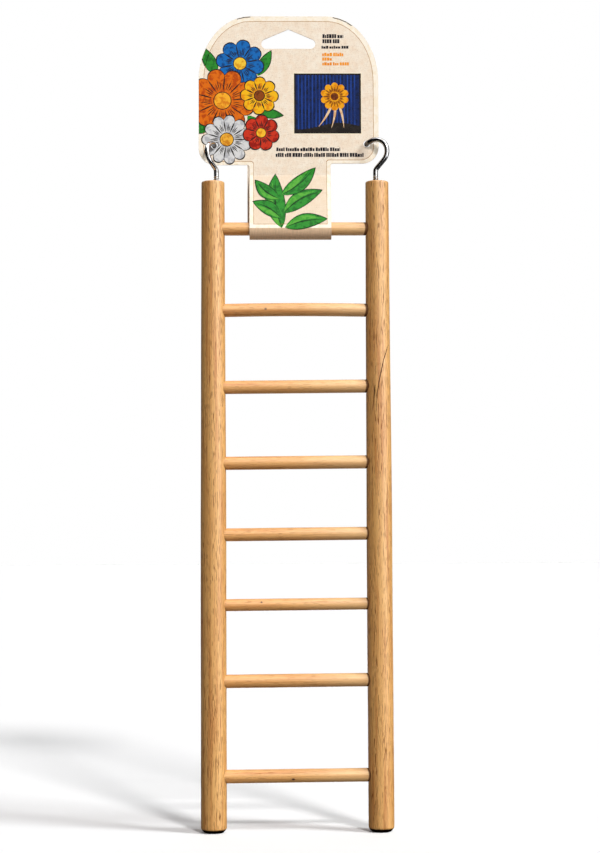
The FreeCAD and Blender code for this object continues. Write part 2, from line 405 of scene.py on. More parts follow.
def wood(name, grain, tones, pore_strength, pore_share, knots=(), foot_shadow_height=None, right_end_highlight=None,
         shaded_joint=None):
    """Satin wood whose fibres run along the axis grain, 0 to 2, in a light, a dark and a pore colour.
    It may have knots, a painted contact shadow at the foot, a painted highlight towards the right end, and a
    painted shade ring round an upright dowel, given by the dowel's place across and its radius."""
    shader = Shader(name)
    light, dark, pore = tones

    def pattern(across, lengthwise, detail, distortion):
        per_mm = [lengthwise if axis == grain else across for axis in range(3)]
        return shader.noise(per_mm, detail, distortion)

    streaks = pattern(*STREAKS)
    fibres = pattern(*FIBRES)
    tone = shader.math("ADD", shader.times(pattern(*FIGURE), FIGURE_SHARE),
                       shader.times(streaks, 1 - FIGURE_SHARE))
    colour = shader.mix(shader.fade(tone, 0.33, 0.58), dark, light)
    colour = shader.mix(shader.range(fibres, 0.0, 0.42), colour, dark)
    fine_dashes = shader.fade(pattern(*FINE_DASHES), *pore_share, 0.6)
    pores = shader.math("MAXIMUM", shader.fade(pattern(*PORE_DASHES), *pore_share), fine_dashes)
    pores = shader.times(pores, shader.range(pattern(*PORE_CLUSTERS), 0.3, 1.0))
    colour = shader.mix(shader.times(pores, pore_strength), colour, pore)
    gloss = shader.math("SUBTRACT", 0.9, shader.times(pores, 0.8))
    # Painted highlight towards the rungs' right ends
    if right_end_highlight:
        start, end, tint = right_end_highlight
        colour = shader.mix(shader.fade(shader.axis(0), start * MM, end * MM, 0.45), colour, tint)
    for centre, radii, strength in knots:
        shifted = shader.vector("ADD", shader.place, [-value * MM for value in centre])
        distance = shader.length(shader.vector("MULTIPLY", shifted, [1 / (value * MM) for value in radii]))
        colour = shader.mix(shader.fade(distance, 1.0, 0.45, strength), colour, KNOT_AND_SHADE_COLOUR)
    # Painted shade where the rungs meet the right rail, which also takes away gloss
    if shaded_joint:
        axis_x, radius = shaded_joint
        outer, inner = ((radius + reach) * MM for reach in JOINT_SHADE)
        from_axis = shader.vector("ADD", shader.place, (-axis_x * MM, 0, 0))
        distance = shader.length(shader.vector("MULTIPLY", from_axis, (1, 1, 0)))
        shade = shader.fade(distance, outer, inner, 0.9)
        colour = shader.mix(shade, colour, KNOT_AND_SHADE_COLOUR)
        gloss = shader.times(gloss, shader.math("SUBTRACT", 1.0, shade))
    # Painted contact shadow: the foot turns near black and loses its gloss
    if foot_shadow_height:
        wave = shader.math("SUBTRACT", shader.noise((0.5, 0.5, 0.5)), 0.5)
        height = shader.math("ADD", shader.axis(2), shader.times(wave, FOOT_SHADOW_WAVE * MM))
        foot_shadow = shader.fade(height, (foot_shadow_height + FOOT_SHADOW_EDGE) * MM, foot_shadow_height * MM)
        colour = shader.mix(foot_shadow, colour, FOOT_SHADOW_COLOUR)
        gloss = shader.times(gloss, shader.math("SUBTRACT", 1.0, foot_shadow))
    relief = shader.math("SUBTRACT", shader.times(fibres, 0.35), pores)
    return shader.finish(colour, shader.range(streaks, 0.38, 0.48), relief, 0.06, gloss)


def steel(name):
    """Polished wire with faint drawing marks and a few dull patches. Near the card it has a painted dark
    reflection of the card.
    """
    shader = Shader(name)
    patches = shader.noise((0.3, 0.3, 0.3), 3.0)
    colour = shader.mix(shader.fade(patches, 0.45, 0.7), *STEEL_COLOURS)
    # Painted dark reflection of the card
    at_card = shader.fade(shader.axis(1), *(place * MM for place in CARD_REFLECTION_DEPTH))
    above_neck = shader.fade(shader.axis(2), *((rail_high.z + rise) * MM for rise in CARD_REFLECTION_HEIGHT))
    colour = shader.mix(shader.times(at_card, above_neck, 0.8), colour, CARD_REFLECTION_COLOUR)
    marks = shader.noise((3.0, 3.0, 1.0), 2.0)
    return shader.finish(colour, shader.range(patches, 0.10, 0.18), marks, 0.002, metallic=1.0)


def card_stock(name):
    """Uncoated board: mottled, speckled and faintly woven, with painted shade on the front leaf below its
    fold and a painted brown shade on the loop.
    """
    shader = Shader(name)
    light, dark = BOARD_COLOURS
    mottle = shader.noise((0.35, 0.35, 0.35), 4.0)
    specks = shader.noise((2.4, 2.4, 2.4), 2.0)
    grain = shader.noise((1.1, 1.1, 1.1), 3.0)
    weave_up = shader.noise((3.2, 0.25, 0.25), 1.0)
    weave = shader.math("ADD", shader.noise((0.25, 0.25, 3.2), 1.0), weave_up)
    colour = shader.mix(shader.range(mottle, 0.0, 1.0), light, dark)
    colour = shader.mix(shader.fade(grain, 0.48, 0.66, 0.3), colour, dark)
    colour = shader.mix(shader.fade(specks, 0.6, 0.72, 0.55), colour, FLECK_COLOUR)
    colour = shader.mix(shader.fade(weave, 1.02, 1.25, 0.22), colour, FLECK_COLOUR)
    height = shader.axis(2)
    # Painted shade on the front leaf below the fold
    below_fold = shader.fade(height, (glue_start.y + 1.0) * MM, (glue_start.y - 1.5) * MM)
    on_front_leaf = shader.fade(shader.axis(1), (CARD_FRONT_Y + 0.35) * MM, (CARD_FRONT_Y + 0.25) * MM)
    colour = shader.mix(shader.times(below_fold, on_front_leaf, 0.5), colour, FOLD_SHADE_COLOUR)
    # Painted shade on the loop round the rung: brown with streaks
    loop_shade = shader.fade(height, (LOOP_TOP + 1.0) * MM, (LOOP_TOP - 1.0) * MM, 0.85)
    shaded_brown = shader.mix(shader.fade(weave_up, 0.42, 0.62, 0.5), LOOP_SHADE_COLOUR, FLECK_COLOUR)
    colour = shader.mix(loop_shade, colour, shaded_brown)
    return shader.finish(colour, shader.range(mottle, 0.62, 0.78), weave, 0.03, 0.15)


def ink(name, main, second, patch_per_mm=(0.4, 0.4, 0.4)):
    """Printed colour, or a painted shade, that shifts between two tones, with the board's tooth showing
    through.
    """
    shader = Shader(name)
    tooth = shader.noise((2.4, 2.4, 2.4), 2.0)
    patches = shader.fade(shader.noise(patch_per_mm, 3.0, 0.5), 0.45, 0.62)
    colour = shader.mix(patches, main, second)
    colour = shader.mix(shader.fade(tooth, 0.6, 0.74, 0.05), colour, TOOTH_COLOUR)
    return shader.finish(colour, shader.range(tooth, 0.42, 0.55), tooth, 0.01, 0.08)


def make_piece(name, bm, material, replaced=(), sharp_deg=35.0):
    """Piece of the ladder from a mesh in millimetres. It rides on the ladder's one body."""
    bmesh.ops.scale(bm, vec=(MM, MM, MM), verts=bm.verts)
    mesh = bpy.data.meshes.new(name)
    bm.to_mesh(mesh)
    bm.free()
    if sharp_deg:
        mesh.shade_smooth()
        mesh.set_sharp_from_angle(angle=math.radians(sharp_deg))
    else:
        mesh.shade_flat()
    mesh.materials.append(material)
    piece = added(name, mesh)
    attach(piece, "root")
    if replaced:
        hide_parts(*replaced)
    return piece


def rings_mesh(rings, start, end, bm=None):
    """Closed mesh from rings of points with as many points each, and a point at either end, also in bm."""
    if bm is None:
        bm = bmesh.new()
    rows = [[bm.verts.new(point) for point in ring] for ring in rings]
    count = len(rows[0])
    for low, high in zip(rows, rows[1:]):
        for index in range(count):
            after = (index + 1) % count
            bm.faces.new((low[index], low[after], high[after], high[index]))
    for pole, row in ((bm.verts.new(start), rows[0]), (bm.verts.new(end), rows[-1])):
        for index in range(count):
            bm.faces.new((pole, row[index], row[(index + 1) % count]))
    bmesh.ops.recalc_face_normals(bm, faces=bm.faces)
    return bm


def rounded(points, rounding, steps=5):
    """Polyline of two-number points whose corners are rounded, except its two ends."""
    points = [Vector(point) for point in points]
    result = [points[0]]
    for before, corner, after in zip(points, points[1:], points[2:]):
        back = before - corner
        forth = after - corner
        reach = min(rounding, 0.45 * back.length, 0.45 * forth.length)
        start = corner + back.normalized() * reach
        end = corner + forth.normalized() * reach
        for step in range(steps + 1):
            share = step / steps
            result.append(start * (1 - share) ** 2 + corner * 2 * share * (1 - share) + end * share ** 2)
    return result + [points[-1]]


def subdivided(points, longest):
    """Polyline with points added where two of them lie further apart than longest."""
    result = [points[0]]
    for start, end in zip(points, points[1:]):
        count = max(1, math.ceil((end - start).length / longest))
        result += [start.lerp(end, step / count) for step in range(1, count + 1)]
    return result


def add_cylinder(bm, start, end, radius):
    """Adds a closed cylinder between two points."""
    direction = (end - start).normalized()
    side = direction.orthogonal().normalized()
    other = direction.cross(side)
    rings = [[point + side * radius * math.cos(turn) + other * radius * math.sin(turn)
              for turn in turns(HOLE_SEGMENTS)] for point in (start, end)]
    rings_mesh(rings, start, end, bm)


def unevenness(*place):
    """Smooth chance from about -1 to 1 that depends on a place alone."""
    return noise.noise(Vector(place))


def rung_axis(number, x):
    """Centre of a rung at a place along it: its ends sit a little unevenly, and one stick is bowed."""
    low, high = box_mm(f"rung_{number}")
    share = x / high.x
    bow = RUNG_BOW.get(number, 0.0)
    height = (low.z + high.z) / 2
    height += RUNG_TILT.get(number, 0.0) * share / 2
    height += bow * (1 - share * share) - bow / 3
    return Vector((x, 0, height))


def rung_radius(number):
    """Half the thickness of a rung."""
    low, high = box_mm(f"rung_{number}")
    return (high.z - low.z) / 2


def make_rung(number, material):
    """Stick cut from a dowel, with the small unevenness of its surface."""
    name = f"rung_{number}"
    low, high = box_mm(name)
    radius = rung_radius(number)
    profile = rounded([(low.x, 0), (low.x, radius), (high.x, radius), (high.x, 0)], RUNG_END_ROUNDING)
    profile = subdivided(profile, RUNG_RING_STEP)
    rings = []
    for x, reach in profile[1:-1]:
        centre = rung_axis(number, x)
        uneven = 1 + RUNG_UNEVENNESS * unevenness(x * 0.05, number * 7.3, 0)
        ring = []
        for turn in turns(RUNG_SEGMENTS):
            chance = unevenness(x * 0.04, math.cos(turn) * 2 + number, math.sin(turn) * 2)
            ridge = 1 + SURFACE_RIDGES * chance
            ring.append(centre + Vector((0, math.cos(turn), math.sin(turn))) * reach * uneven * ridge)
        rings.append(ring)
    bm = rings_mesh(rings, rung_axis(number, low.x), rung_axis(number, high.x))
    make_piece(name + "_stick", bm, material, [name])


def rail_mesh(side):
    """Turned rail without its holes: domed and chamfered foot, straight body, slim top."""
    x, length, radius = side * rail_axis_x, rail_high.z, rail_foot_radius
    profile = rounded([(0, 0), (FOOT_FLAT_RADIUS, 0), (radius - FOOT_CHAMFER_WIDTH, FOOT_DOME_HEIGHT),
                       (radius, FOOT_DOME_HEIGHT + FOOT_CHAMFER_HEIGHT), (radius, length - RAIL_TAPER_LENGTH),
                       (RAIL_TOP_RADIUS, length), (0, length)], RAIL_ROUNDING)
    profile = subdivided(profile, RAIL_RING_STEP)
    rings = []
    for reach, height in profile[1:-1]:
        sway = Vector((unevenness(side * 5, 0, height * 0.012), unevenness(side * 9, 4, height * 0.012), 0))
        centre = Vector((x, 0, height)) + sway * RAIL_SWAY
        ring = []
        for turn in turns(RAIL_SEGMENTS):
            chance = unevenness(math.cos(turn) * 3 + side * 20, math.sin(turn) * 3, height * 0.02)
            ridge = 1 + SURFACE_RIDGES * chance
            ring.append(centre + Vector((math.cos(turn), math.sin(turn), 0)) * reach * ridge)
        rings.append(ring)
    return rings_mesh(rings, Vector((x, 0, 0)), Vector((x, 0, length)))


def rail_radius_at(height):
    """Radius of a rail's body, which grows slimmer towards the top."""
    share = max(0.0, (height - rail_high.z + RAIL_TAPER_LENGTH) / RAIL_TAPER_LENGTH)
    return rail_foot_radius + (RAIL_TOP_RADIUS - rail_foot_radius) * share


def add_crack(bm, points):
    """Adds the wedge of a crack in the right rail's front, widest near its upper end, closed at both ends."""
    line = subdivided([Vector(point) for point in points], CRACK_STEP)
    rings = []
    for index, (offset, height) in enumerate(line[1:-1], start=1):
        radius = rail_radius_at(height)
        swell = math.sin(math.pi * (index / (len(line) - 1)) ** 0.6) ** 0.6
        outward = Vector((offset, -math.sqrt(radius ** 2 - offset ** 2), 0)).normalized()
        run = (line[index + 1] - line[index - 1]).normalized()
        sideways = Vector((-outward.y * run.y, outward.x * run.y, -run.x)).normalized()
        axis = Vector((rail_axis_x, 0, height))
        half = CRACK_HALF_WIDTH * swell * (1 + 0.3 * unevenness(height, offset, 1))
        depth = CRACK_DEPTH * swell
        flare = half * (depth + CRACK_MOUTH) / depth
        rings.append([axis + outward * (radius + CRACK_MOUTH) + sideways * flare,
                      axis + outward * (radius - depth),
                      axis + outward * (radius + CRACK_MOUTH) - sideways * flare])
    ends = [Vector((rail_axis_x + offset, -math.sqrt(rail_radius_at(height) ** 2 - offset ** 2), height))
            for offset, height in (line[0], line[-1])]
    rings_mesh(rings, *ends, bm)


def darken_hollows(bm, side):
    """Gives the walls of the cracks and of the rungs' holes the second material, a painted dark shade."""
    for face in bm.faces:
        centre = face.calc_center_median()
        outward = Vector((centre.x - side * rail_axis_x, centre.y, 0))
        if HOLLOWS_START < centre.z < rail_high.z - HOLLOWS_START and outward.length < rail_foot_radius:
            inside = outward.length < SKIN_SHARE * rail_radius_at(centre.z)
            if inside or abs(face.normal.dot(outward.normalized())) < SKIN_FACING:
                face.material_index = 1


def cut(bm, cutters):
    """bm with the cutters' space taken out, all in millimetres."""
    objects = []
    for label, source in (("blank", bm), ("cutters", cutters)):
        mesh = bpy.data.meshes.new(label)
        source.to_mesh(mesh)
        source.free()
        objects.append(added(label, mesh))
    blank, tool = objects
    modifier = blank.modifiers.new("cut", "BOOLEAN")
    modifier.operation = "DIFFERENCE"
    modifier.solver = "EXACT"
    modifier.object = tool
    shown = blank.evaluated_get(bpy.context.evaluated_depsgraph_get())
    result = bmesh.new()
    result.from_mesh(shown.to_mesh())
    shown.to_mesh_clear()
    for holder in objects:
        mesh = holder.data
        bpy.data.objects.remove(holder)
        bpy.data.meshes.remove(mesh)
    return result


def make_rail(side_name, side, material, hollow_material):
    """Rail with its blind rung holes and the hook's bore, and on the right its cracks."""
    cutters = bmesh.new()
    inner_x = rail_axis_x - rail_foot_radius
    for number in range(1, RUNG_COUNT + 1):
        end_x = box_mm(f"rung_{number}")[1].x + HOLE_GAP
        height = rung_axis(number, side * inner_x).z
        add_cylinder(cutters, Vector((side * (inner_x - HOLE_OVERRUN), 0, height)),
                     Vector((side * end_x, 0, height)), rung_radius(number) + HOLE_GAP)
    entry = hook_entry(HOOKS[side_name + "_hook"])
    add_cylinder(cutters, entry - UP * (SHANK_LENGTH + HOLE_GAP), entry + UP, BORE_RADIUS)
    if side > 0:
        for points in CRACKS:
            add_crack(cutters, points)
    bm = cut(rail_mesh(side), cutters)
    darken_hollows(bm, side)
    name = side_name + "_rail"
    piece = make_piece(name + "_dowel", bm, material, [name])
    piece.data.materials.append(hollow_material)


def hook_entry(spec):
    """Point where a hook's shank meets the top of its rail."""
    return Vector((spec["side"] * (rail_axis_x - spec["inset"]), 0, rail_high.z))


def bend(start, heading, new_heading, radius, step_deg=3.0):
    """Points of the arc that leaves start along heading and turns to new_heading."""
    axis = heading.cross(new_heading).normalized()
    centre = start + axis.cross(heading) * radius
    angle = heading.angle(new_heading)
    count = math.ceil(math.degrees(angle) / step_deg)
    return [centre + Quaternion(axis, angle * index / count) @ (start - centre) for index in range(count + 1)]


def hook_path(spec):
    """Centre line of a hook from the shank's end to the tip, with no sharp bend."""
    entry = hook_entry(spec)
    pivot = entry + UP * NECK_HEIGHT
    slope = math.radians(NECK_SLOPE_DEG)
    placed = Quaternion(BACK, math.radians(spec["lean"])) @ Quaternion(UP, math.radians(spec["turn"]))
    neck_heading = placed @ Vector((math.sin(slope), 0, math.cos(slope)))
    finish = math.radians(spec["end"])
    end_heading = placed @ Vector((-math.sin(finish), 0, math.cos(finish)))
    reach = NECK_BEND_RADIUS * math.tan(UP.angle(neck_heading) / 2)
    points = subdivided([entry - UP * SHANK_LENGTH, pivot - UP * reach], SHANK_STEP)
    points += bend(points[-1], UP, neck_heading, NECK_BEND_RADIUS)[1:]
    ring_start = pivot + neck_heading * spec["radius"] * math.tan(slope)
    points += subdivided([points[-1], ring_start], WIRE_STEP)[1:]
    points += bend(points[-1], neck_heading, end_heading, spec["radius"])[1:]
    points += bend(points[-1], end_heading, BACK, TIP_BEND_RADIUS)[1:]
    tip = Vector((points[-1].x, TIP_REACH - TIP_ROUNDING, points[-1].z))
    return points + subdivided([points[-1], tip], WIRE_STEP)[1:]


def thread_share(point, entry):
    """One where the shank has its full thread, zero on the wire, and between them on the run-out."""
    height = point.z - entry.z
    if point.x != entry.x or height > SHANK_RISE + SHANK_RUNOUT:
        return 0.0
    return min(1.0, 1 - (height - SHANK_RISE) / SHANK_RUNOUT)


def make_hook(name, spec, material):
    """Screw hook: smooth wire, a rounded tip, and a thread that runs out above the rail."""
    path = hook_path(spec)
    entry = hook_entry(spec)
    headings = [(after - before).normalized() for before, after in zip(path, path[1:])]
    headings.append(headings[-1])
    side = RIGHT.copy()
    rings = []
    for index, (point, heading) in enumerate(zip(path, headings)):
        if index:
            side = headings[index - 1].rotation_difference(heading) @ side
        other = heading.cross(side)
        threaded = thread_share(point, entry)
        end_share = SHANK_END_SHARE if index == 0 else 1.0
        ring = []
        for step in range(WIRE_SEGMENTS):
            turn = 2 * math.pi * step / WIRE_SEGMENTS
            phase = ((point.z - entry.z) / THREAD_PITCH - step / WIRE_SEGMENTS) % 1.0
            ridge = max(0.0, 1 - abs(phase - 0.5) / THREAD_RIDGE_SHARE)
            screw = THREAD_ROOT_RADIUS + (THREAD_CREST_RADIUS - THREAD_ROOT_RADIUS) * ridge
            radius = (WIRE_RADIUS * (1 - threaded) + screw * threaded) * end_share
            ring.append(point + (side * math.cos(turn) + other * math.sin(turn)) * radius)
        rings.append(ring)
    forward = headings[-1] * TIP_ROUNDING
    centre = path[-1]
    last = rings[-1]
    for step in range(1, 7):
        angle = math.radians(15 * step) * 0.95
        reach = forward * math.sin(angle)
        rings.append([centre + (point - centre) * math.cos(angle) + reach for point in last])
    bm = rings_mesh(rings, path[0] - UP * 0.02, centre + forward)
    make_piece(name + "_wire", bm, material, [name], WIRE_SHARP_DEG)


def on_card(x, z, lift):
    """Point of the card's front face at a place across and a height, lifted off the paper."""
    if z >= glue_start.y:
        return Vector((x, CARD_FRONT_Y - lift, z))
    if z >= touch.y:
        run = (glue_start - touch).normalized()
        y = touch.x + run.x / run.y * (z - touch.y)
        return Vector((x, y - run.y * lift, z + run.x * lift))
    y = -math.sqrt(max(fold_radius ** 2 - (z - fold_height) ** 2, 0))
    outward = Vector((y, z - fold_height)) / fold_radius
    return Vector((x, y + outward.x * lift, z + outward.y * lift))


def corner(start, middle, end, steps=12):
    """Quarter of an ellipse that rounds the corner between start and end."""
    start, middle, end = Vector(start), Vector(middle), Vector(end)
    angles = [math.pi / 2 * step / steps for step in range(steps + 1)]
    return [middle + (start - middle) * (1 - math.sin(angle)) + (end - middle) * (1 - math.cos(angle))
            for angle in angles]


def card_path(inset, base_inset, bottom):
    """Outline of the card's front, moved inwards, down to a height on the stem."""
    left, right, top = card_low.x + inset, card_high.x - inset, card_high.z - inset
    left_base = card_top_rung + WIDE_START_HEIGHT + base_inset
    right_base = left_base + RIGHT_SHOULDER_RISE
    wide, tall = TOP_CORNER[0] - inset, TOP_CORNER[1] - inset
    low = LOWER_CORNER_RADIUS - min(inset, base_inset)
    near_left, near_right = stem_left + inset * 0.8, stem_right - inset * 0.8
    fillet = INNER_CORNER_RADIUS
    points = corner((left, top - tall), (left, top), (left + wide, top))
    points += corner((right - wide, top), (right, top), (right, top - tall))
    points += corner((right, right_base + low), (right, right_base), (right - low, right_base))
    points += corner((near_right + fillet, right_base), (near_right, right_base),
                     (near_right, right_base - fillet))
    points += [Vector((near_right, bottom)), Vector((near_left, bottom))]
    points += corner((near_left, left_base - fillet), (near_left, left_base), (near_left - fillet, left_base))
    points += corner((left + low, left_base), (left, left_base), (left, left_base + low))
    return points


def bar(x, z, width, height, lean_deg=0.0):
    """Rectangle from its lower left corner."""
    lean = Matrix.Rotation(math.radians(lean_deg), 2)
    corners = ((0, 0), (width, 0), (width, height), (0, height))
    return [Vector((x, z)) + lean @ Vector(point) for point in corners]


def disc(x, z, radius, count=36):
    """Circle."""
    return [Vector((x, z)) + on_circle(turn) * radius for turn in turns(count)]


def blade(x, z, angle_deg, length, width, fullness=1.0, curl=0.0, count=16):
    """Leaf or petal from its foot: fullness over 1 moves its widest place towards the tip."""
    forward = on_circle(math.radians(angle_deg))
    sideways = Vector((-forward.y, forward.x))
    foot = Vector((x, z))
    rows = []
    for index in range(1, count):
        share = index / count
        half = width / 2 * math.sin(math.pi * share ** fullness) ** 0.85
        centre = foot + forward * length * share + sideways * curl * math.sin(math.pi * share)
        rows.append((centre + sideways * half, centre - sideways * half))
    tip = foot + forward * length
    return [foot] + [right for _, right in rows] + [tip] + [left for left, _ in reversed(rows)]


# Heights at which print is divided, so that it follows the card's bend and the loop round the rung
FOLD_LINES = [glue_start.y, touch.y] + [touch.y - step for step in (0.5, 1.0, 1.6, 2.3, 3.1, 4.0)]


def punch(bm, outline):
    """Takes a convex outline out of flat print."""
    middle = sum(outline, Vector((0, 0))) / len(outline)
    sides = []
    for start, end in zip(outline, outline[1:] + outline[:1]):
        outward = Vector((end.y - start.y, start.x - end.x))
        if outward.dot(start - middle) < 0:
            outward = -outward
        sides.append((start, outward.normalized()))
    reach = max((point - middle).length for point in outline)

    def is_near(face):
        spans = [(min(vert.co[axis] for vert in face.verts), max(vert.co[axis] for vert in face.verts))
                 for axis in (0, 1)]
        return all(low < middle[axis] + reach and high > middle[axis] - reach
                   for axis, (low, high) in enumerate(spans))

    near = [face for face in bm.faces if is_near(face)]
    for start, outward in sides:
        parts = set(near)
        for face in near:
            parts.update(face.edges)
            parts.update(face.verts)
        result = bmesh.ops.bisect_plane(bm, geom=list(parts), plane_co=(start.x, start.y, 0),
                                        plane_no=(outward.x, outward.y, 0))
        near = [part for part in result["geom"] if isinstance(part, bmesh.types.BMFace)]

    def is_inside(face):
        centre = face.calc_center_median().to_2d()
        return all((centre - start).dot(outward) < 0 for start, outward in sides)

    bmesh.ops.delete(bm, geom=[face for face in near if is_inside(face)], context="FACES")


def trim_to_left_side(bm):
    """Cuts flat print off where it runs over the card's left side or its corners there."""
    path = card_path(EDGE_INSET, EDGE_INSET, touch.y)
    left_side = path[-13:] + path[:13]
    for start, end in zip(left_side, left_side[1:]):
        run = end - start
        if run.length > 0.01:
            everything = bm.verts[:] + bm.edges[:] + bm.faces[:]
            bmesh.ops.bisect_plane(bm, geom=everything, plane_co=(start.x, start.y, 0),
                                   plane_no=(-run.y, run.x, 0), clear_outer=True)


def tip_holes():
    """Outlines of the two holes for the hooks' tips, and of the slit from the right one to the edge."""
    outlines = []
    for spec in HOOKS.values():
        tip = hook_path(spec)[-1]
        outlines.append(disc(tip.x, tip.z, WIRE_RADIUS + HOLE_CLEARANCE, 20))
    slit_length = card_high.x - tip.x + 1
    outlines.append(bar(tip.x, tip.z - SLIT_WIDTH / 2, slit_length, SLIT_WIDTH,
                        math.degrees(math.atan2(SLIT_RISE, slit_length))))
    return outlines


card_holes = tip_holes()


def print_layer(name, shapes, layer, material, spacing=0, trimmed=False):
    """Film of printed colour on the card's front. Each shape is a list of outlines, the outer one first.
    spacing is the number of layers between two shapes, for shapes that overlap."""
    bm = bmesh.new()
    height_of = bm.verts.layers.float.new("height")
    for order, outlines in enumerate(shapes):
        outlines = [[Vector((x, z, 0)) for x, z in outline] for outline in outlines]
        verts = [bm.verts.new(point) for outline in outlines for point in outline]
        for vert in verts:
            vert[height_of] = layer + order * spacing
        for triangle in tessellate_polygon(outlines):
            if len(set(triangle)) == 3:
                bm.faces.new([verts[index] for index in triangle])
    if trimmed:
        trim_to_left_side(bm)
    for outline in card_holes:
        punch(bm, outline)
    for height in FOLD_LINES:
        everything = bm.verts[:] + bm.edges[:] + bm.faces[:]
        bmesh.ops.bisect_plane(bm, geom=everything, plane_co=(0, height, 0), plane_no=(0, 1, 0))
    for vert in bm.verts:
        vert.co = on_card(vert.co.x, vert.co.y, vert[height_of] * LAYER_LIFT)
    bmesh.ops.recalc_face_normals(bm, faces=bm.faces)
    for face in bm.faces:
        if face.normal.y > 0:
            face.normal_flip()
    piece = make_piece(name, bm, material, sharp_deg=None)
    film = piece.modifiers.new("film", "SOLIDIFY")
    film.thickness = FILM_THICKNESS * MM
    film.offset = -1.0


def rosette(x, z, radius, petals, turn_deg, notch=0.2, per_petal=10):
    """Outline of a flower with round petals."""
    points = []
    for index in range(petals * per_petal):
        across = abs(index % per_petal / per_petal - 0.5) * 2
        reach = radius * (1 - notch * across ** 2.4)
        turn = math.radians(turn_deg) + 2 * math.pi * index / (petals * per_petal)
        points.append(Vector((x, z)) + on_circle(turn) * reach)
    return points


def strokes(x, z, radius, petals, turn_deg):
    """Thin dark strokes of a flower: one between every two petals, and three in each."""
    shapes = []
    for index in range(petals):
        for share, start, length, width in STROKES:
            angle = turn_deg + 360 / petals * (index + share)
            foot = Vector((x, z)) + on_circle(math.radians(angle)) * radius * start
            shapes.append([blade(*foot, angle, radius * length, width)])
    return shapes


def words(x, z, width, height, seed):
    """Groups of small blocks in the place of a line of text."""
    chance = random.Random(seed)
    shapes = []
    at = x
    while at < x + width - WORD_GAP:
        for _ in range(chance.randint(3, 7)):
            run = min(chance.uniform(*BLOCK_WIDTHS), x + width - at)
            if run > 0.2:
                drop = height * chance.choice((0.0, 0.0, 0.22))
                shapes.append([bar(at, z, run, height - drop)])
            at += run + BLOCK_GAP
        at += WORD_GAP
    return shapes


def all_words(rows, first_seed):
    """Blocks of several rows, each with a seed of its own."""
    return [shape for seed, row in enumerate(rows, start=first_seed) for shape in words(*row, seed)]


def print_edges():
    """Paler margin, thin border, and painted dark shade along the card's upper corners."""
    outer, inner = BORDER_INSETS
    step = BORDER_WIDTH / 3
    inside = card_path(outer, inner, BORDER_BOTTOM + step)[::-1]
    print_layer("print_margin", [[card_path(EDGE_INSET, EDGE_INSET, touch.y - 0.5), inside]], 1,
                ink("ink_margin", "FBF3E6", "F7EBD6"))
    border = [card_path(outer - step, inner - step, BORDER_BOTTOM),
              card_path(outer + 2 * step, inner + 2 * step, BORDER_BOTTOM + BORDER_WIDTH)[::-1]]
    print_layer("print_border", [border], 2, ink("ink_line", "B98A50", "A87741"))
    edge, inward = (card_path(inset, inset, BORDER_BOTTOM)
                    for inset in (EDGE_INSET, EDGE_INSET + EDGE_MARK_WIDTH))
    # Painted shade: dark lines along parts of the card's upper corners
    marks = [[edge[first:last] + inward[first:last][::-1]] for first, last in EDGE_MARKS]
    print_layer("print_edge_shade", marks, 2, ink("ink_edge_shade", "5A5450", "3C3734"))


def leaf_shapes(leaves, longer=0.0, wider=0.0):
    """Outlines of leaves. For their dark rims, LEAF_RIM makes them a little longer and wider."""
    return [[blade(x, z, angle, length + longer, width + wider, LEAF_FULLNESS, curl)]
            for x, z, angle, length, width, curl in leaves]


def print_flowers(dark):
    """Flowers and fronds on the card's left side."""
    print_layer("print_frond_rims", leaf_shapes(FRONDS, *LEAF_RIM), 1,
                ink("ink_frond_rim", *LEAF_RIM_COLOURS), trimmed=True)
    print_layer("print_fronds", leaf_shapes(FRONDS), 2, ink("ink_frond", *LEAF_COLOURS), trimmed=True)
    for order, (label, (x, z), radius, petals, turn, colours, heart_colours) in enumerate(FLOWERS):
        base = FIRST_FLOWER_LAYER + order * LAYERS_PER_FLOWER
        heart = radius * HEART_SHARE
        dark_marks = strokes(x, z, radius, petals, turn) + [[disc(x, z, heart + 0.5)]]
        rim = rosette(x, z, radius + RIM, petals, turn)
        print_layer(f"print_{label}_rim", [[rim]], base, dark, trimmed=True)
        print_layer(f"print_{label}", [[rosette(x, z, radius, petals, turn)]], base + 1,
                    ink(f"ink_{label}", *colours), trimmed=True)
        print_layer(f"print_{label}_strokes", dark_marks, base + 2, dark, trimmed=True)
        print_layer(f"print_{label}_heart", [[disc(x, z, heart)]], base + 3,
                    ink(f"ink_{label}_heart", *heart_colours), trimmed=True)


def print_leaves():
    """Leaves on the stem, each with a dark rim, a light band and a rib."""
    lights = [(x, z, angle + 4, length * 0.86, width * 0.34, curl + width * 0.16)
              for x, z, angle, length, width, curl in LEAVES]
    ribs = [(x, z, angle, length * 0.93, 0.7, curl) for x, z, angle, length, _, curl in LEAVES]
    rim_ink = ink("ink_leaf_rim", *LEAF_RIM_COLOURS)
    print_layer("print_leaf_rims", leaf_shapes(LEAVES, *LEAF_RIM), 1, rim_ink, spacing=4)
    print_layer("print_leaves", leaf_shapes(LEAVES), 2, ink("ink_green", *LEAF_COLOURS), spacing=4)
    light_ink = ink("ink_green_light", "58A83C", "3C9430")
    print_layer("print_leaf_lights", leaf_shapes(lights), 3, light_ink, spacing=4)
    print_layer("print_leaf_ribs", leaf_shapes(ribs), 4, ink("ink_leaf_rib", *LEAF_RIM_COLOURS), spacing=4)


